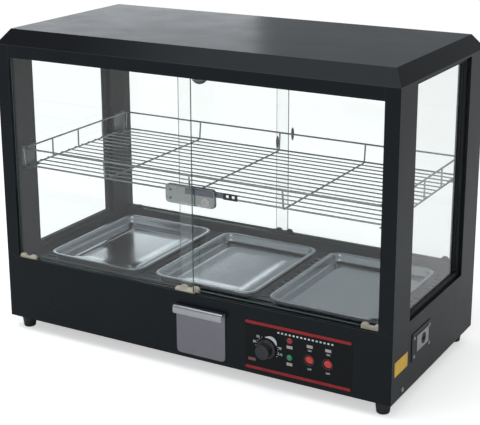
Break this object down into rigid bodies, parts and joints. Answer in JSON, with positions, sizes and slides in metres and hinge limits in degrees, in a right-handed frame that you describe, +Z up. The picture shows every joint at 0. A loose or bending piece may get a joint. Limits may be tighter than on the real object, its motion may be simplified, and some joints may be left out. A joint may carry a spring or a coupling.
{
  "type": "heated display case",
  "caption": "Countertop heated display case with sliding glass doors front and back, a wire shelf, lift-out trays, a water drawer and a control panel.",
  "frame": {"origin": "centre of the overall footprint, at the feet's undersides", "axes": "+X to the right along the width, +Y to the rear, +Z up; the controls face -Y"},
  "size_m": [0.903, 0.458, 0.662],
  "materials": {
    "black_paint": "satin black baked enamel",
    "zinc_sheet": "plain zinc-coated sheet",
    "stainless": "brushed stainless sheet",
    "clear_glass": "clear float glass, polished edges",
    "black_rubber": "matt",
    "cream_plastic": "moulded, off-white",
    "black_plastic": "moulded, fine texture",
    "wheel_plastic": "turned nylon",
    "red_lens": "clear red lens",
    "green_lens": "clear green lens",
    "red_rocker": "translucent red",
    "panel_print": "black overlay with red stripes",
    "shelf_chrome": "plated wire",
    "screw_steel": "zinc-plated",
    "lamp_glass": "clear bulb",
    "white_ceramic": "glazed",
    "lock_metal": "satin chrome",
    "yellow_vinyl": "blank yellow label"
  },
  "bodies": {
    "case": {"base_casing": "black_paint", "base_front_panel": "black_paint", "bottom_plate": "zinc_sheet", "floor_plate": "black_paint", "rubber_feet": "black_rubber", "corner_posts": "black_paint", "front_header": "black_paint", "rear_header": "black_paint", "front_track": "black_paint", "rear_track": "black_paint", "ceiling_liner": "black_paint", "top_cover": "black_paint", "side_glass_panes": "clear_glass", "side_glass_seals": "black_rubber", "shelf_brackets": "black_paint", "lamp_holder": "white_ceramic", "lamp_bulb": "lamp_glass", "drawer_cradle": "zinc_sheet", "control_panel": "panel_print", "red_indicator": "red_lens", "green_indicator": "green_lens", "switch_housings": "black_plastic", "thermostat_body": "black_plastic", "entry_cover_plate": "black_paint", "entry_insert": "zinc_sheet", "cable_grommet": "black_rubber", "side_screws": "screw_steel", "terminal_block": "white_ceramic", "yellow_label": "yellow_vinyl", "heating_element": "stainless", "element_clamps": "zinc_sheet"},
    "front_left_door": {"front_left_door_glass": "clear_glass", "front_left_door_carriers": "cream_plastic"},
    "front_left_door_wheel_left": {"front_left_door_wheel_left": "wheel_plastic"},
    "front_left_door_wheel_right": {"front_left_door_wheel_right": "wheel_plastic"},
    "front_right_door": {"front_right_door_glass": "clear_glass", "front_right_door_carriers": "cream_plastic", "door_lock_housing": "lock_metal"},
    "front_right_door_wheel_left": {"front_right_door_wheel_left": "wheel_plastic"},
    "front_right_door_wheel_right": {"front_right_door_wheel_right": "wheel_plastic"},
    "rear_left_door": {"rear_left_door_glass": "clear_glass", "rear_left_door_carriers": "black_plastic"},
    "rear_left_door_wheel_left": {"rear_left_door_wheel_left": "wheel_plastic"},
    "rear_left_door_wheel_right": {"rear_left_door_wheel_right": "wheel_plastic"},
    "rear_right_door": {"rear_right_door_glass": "clear_glass", "rear_right_door_carriers": "black_plastic"},
    "rear_right_door_wheel_left": {"rear_right_door_wheel_left": "wheel_plastic"},
    "rear_right_door_wheel_right": {"rear_right_door_wheel_right": "wheel_plastic"},
    "water_drawer": {"water_drawer_front": "stainless", "water_pan": "stainless"},
    "tray_left": {"tray_left": "stainless"},
    "tray_middle": {"tray_middle": "stainless"},
    "tray_right": {"tray_right": "stainless"},
    "wire_shelf": {"shelf_deck": "shelf_chrome", "shelf_rail": "shelf_chrome"},
    "thermostat_knob": {"thermostat_knob": "black_plastic", "thermostat_spindle": "screw_steel"},
    "left_rocker": {"left_rocker": "red_rocker"},
    "right_rocker": {"right_rocker": "red_rocker"},
    "door_lock_barrel": {"door_lock_barrel": "lock_metal"}
  },
  "joints": [
    {"name": "front_left_door_slide", "type": "slide", "parent": "case", "child": "front_left_door", "axis": [1, 0, 0], "range_m": [0, 0.4]},
    {"name": "front_left_door_wheel_left_spin", "type": "hinge", "parent": "front_left_door", "child": "front_left_door_wheel_left", "pos_m": [-0.4, -0.199, 0.1648], "axis": [0, 1, 0], "range_deg": [-5, 5100]},
    {"name": "front_left_door_wheel_right_spin", "type": "hinge", "parent": "front_left_door", "child": "front_left_door_wheel_right", "pos_m": [-0.004, -0.199, 0.1648], "axis": [0, 1, 0], "range_deg": [-5, 5100]},
    {"name": "front_right_door_slide", "type": "slide", "parent": "case", "child": "front_right_door", "axis": [-1, 0, 0], "range_m": [0, 0.37]},
    {"name": "front_right_door_wheel_left_spin", "type": "hinge", "parent": "front_right_door", "child": "front_right_door_wheel_left", "pos_m": [0.001, -0.186, 0.1648], "axis": [0, -1, 0], "range_deg": [-5, 5100]},
    {"name": "front_right_door_wheel_right_spin", "type": "hinge", "parent": "front_right_door", "child": "front_right_door_wheel_right", "pos_m": [0.397, -0.186, 0.1648], "axis": [0, -1, 0], "range_deg": [-5, 5100]},
    {"name": "rear_left_door_slide", "type": "slide", "parent": "case", "child": "rear_left_door", "axis": [1, 0, 0], "range_m": [0, 0.4]},
    {"name": "rear_left_door_wheel_left_spin", "type": "hinge", "parent": "rear_left_door", "child": "rear_left_door_wheel_left", "pos_m": [-0.4, 0.208, 0.1648], "axis": [0, 1, 0], "range_deg": [-5, 5100]},
    {"name": "rear_left_door_wheel_right_spin", "type": "hinge", "parent": "rear_left_door", "child": "rear_left_door_wheel_right", "pos_m": [-0.004, 0.208, 0.1648], "axis": [0, 1, 0], "range_deg": [-5, 5100]},
    {"name": "rear_right_door_slide", "type": "slide", "parent": "case", "child": "rear_right_door", "axis": [-1, 0, 0], "range_m": [0, 0.4]},
    {"name": "rear_right_door_wheel_left_spin", "type": "hinge", "parent": "rear_right_door", "child": "rear_right_door_wheel_left", "pos_m": [0.001, 0.221, 0.1648], "axis": [0, -1, 0], "range_deg": [-5, 5100]},
    {"name": "rear_right_door_wheel_right_spin", "type": "hinge", "parent": "rear_right_door", "child": "rear_right_door_wheel_right", "pos_m": [0.397, 0.221, 0.1648], "axis": [0, -1, 0], "range_deg": [-5, 5100]},
    {"name": "water_drawer_slide", "type": "slide", "parent": "case", "child": "water_drawer", "axis": [0, -1, 0], "range_m": [0, 0.14]},
    {"name": "tray_left_lift", "type": "slide", "parent": "case", "child": "tray_left", "axis": [0, 0, 1], "range_m": [0, 0.12]},
    {"name": "tray_middle_lift", "type": "slide", "parent": "case", "child": "tray_middle", "axis": [0, 0, 1], "range_m": [0, 0.12]},
    {"name": "tray_right_lift", "type": "slide", "parent": "case", "child": "tray_right", "axis": [0, 0, 1], "range_m": [0, 0.12]},
    {"name": "wire_shelf_lift", "type": "slide", "parent": "case", "child": "wire_shelf", "axis": [0, 0, 1], "range_m": [0, 0.05]},
    {"name": "thermostat_turn", "type": "hinge", "parent": "case", "child": "thermostat_knob", "pos_m": [0.1875, -0.207, 0.089], "axis": [0, 1, 0], "range_deg": [0, 300]},
    {"name": "left_rocker_tilt", "type": "hinge", "parent": "case", "child": "left_rocker", "pos_m": [0.28, -0.2066, 0.0865], "axis": [1, 0, 0], "range_deg": [-20, 0]},
    {"name": "right_rocker_tilt", "type": "hinge", "parent": "case", "child": "right_rocker", "pos_m": [0.319, -0.2066, 0.0865], "axis": [1, 0, 0], "range_deg": [-20, 0]},
    {"name": "door_lock_turn", "type": "hinge", "parent": "front_right_door", "child": "door_lock_barrel", "pos_m": [0.0425, -0.1955, 0.36], "axis": [0, 1, 0], "range_deg": [0, 90]}
  ],
  "couplings": [
    {"joint": "front_left_door_wheel_left_spin", "follows": "front_left_door_slide", "rad_per_m": 222.22},
    {"joint": "front_left_door_wheel_right_spin", "follows": "front_left_door_slide", "rad_per_m": 222.22},
    {"joint": "front_right_door_wheel_left_spin", "follows": "front_right_door_slide", "rad_per_m": 222.22},
    {"joint": "front_right_door_wheel_right_spin", "follows": "front_right_door_slide", "rad_per_m": 222.22},
    {"joint": "rear_left_door_wheel_left_spin", "follows": "rear_left_door_slide", "rad_per_m": 222.22},
    {"joint": "rear_left_door_wheel_right_spin", "follows": "rear_left_door_slide", "rad_per_m": 222.22},
    {"joint": "rear_right_door_wheel_left_spin", "follows": "rear_right_door_slide", "rad_per_m": 222.22},
    {"joint": "rear_right_door_wheel_right_spin", "follows": "rear_right_door_slide", "rad_per_m": 222.22}
  ]
}
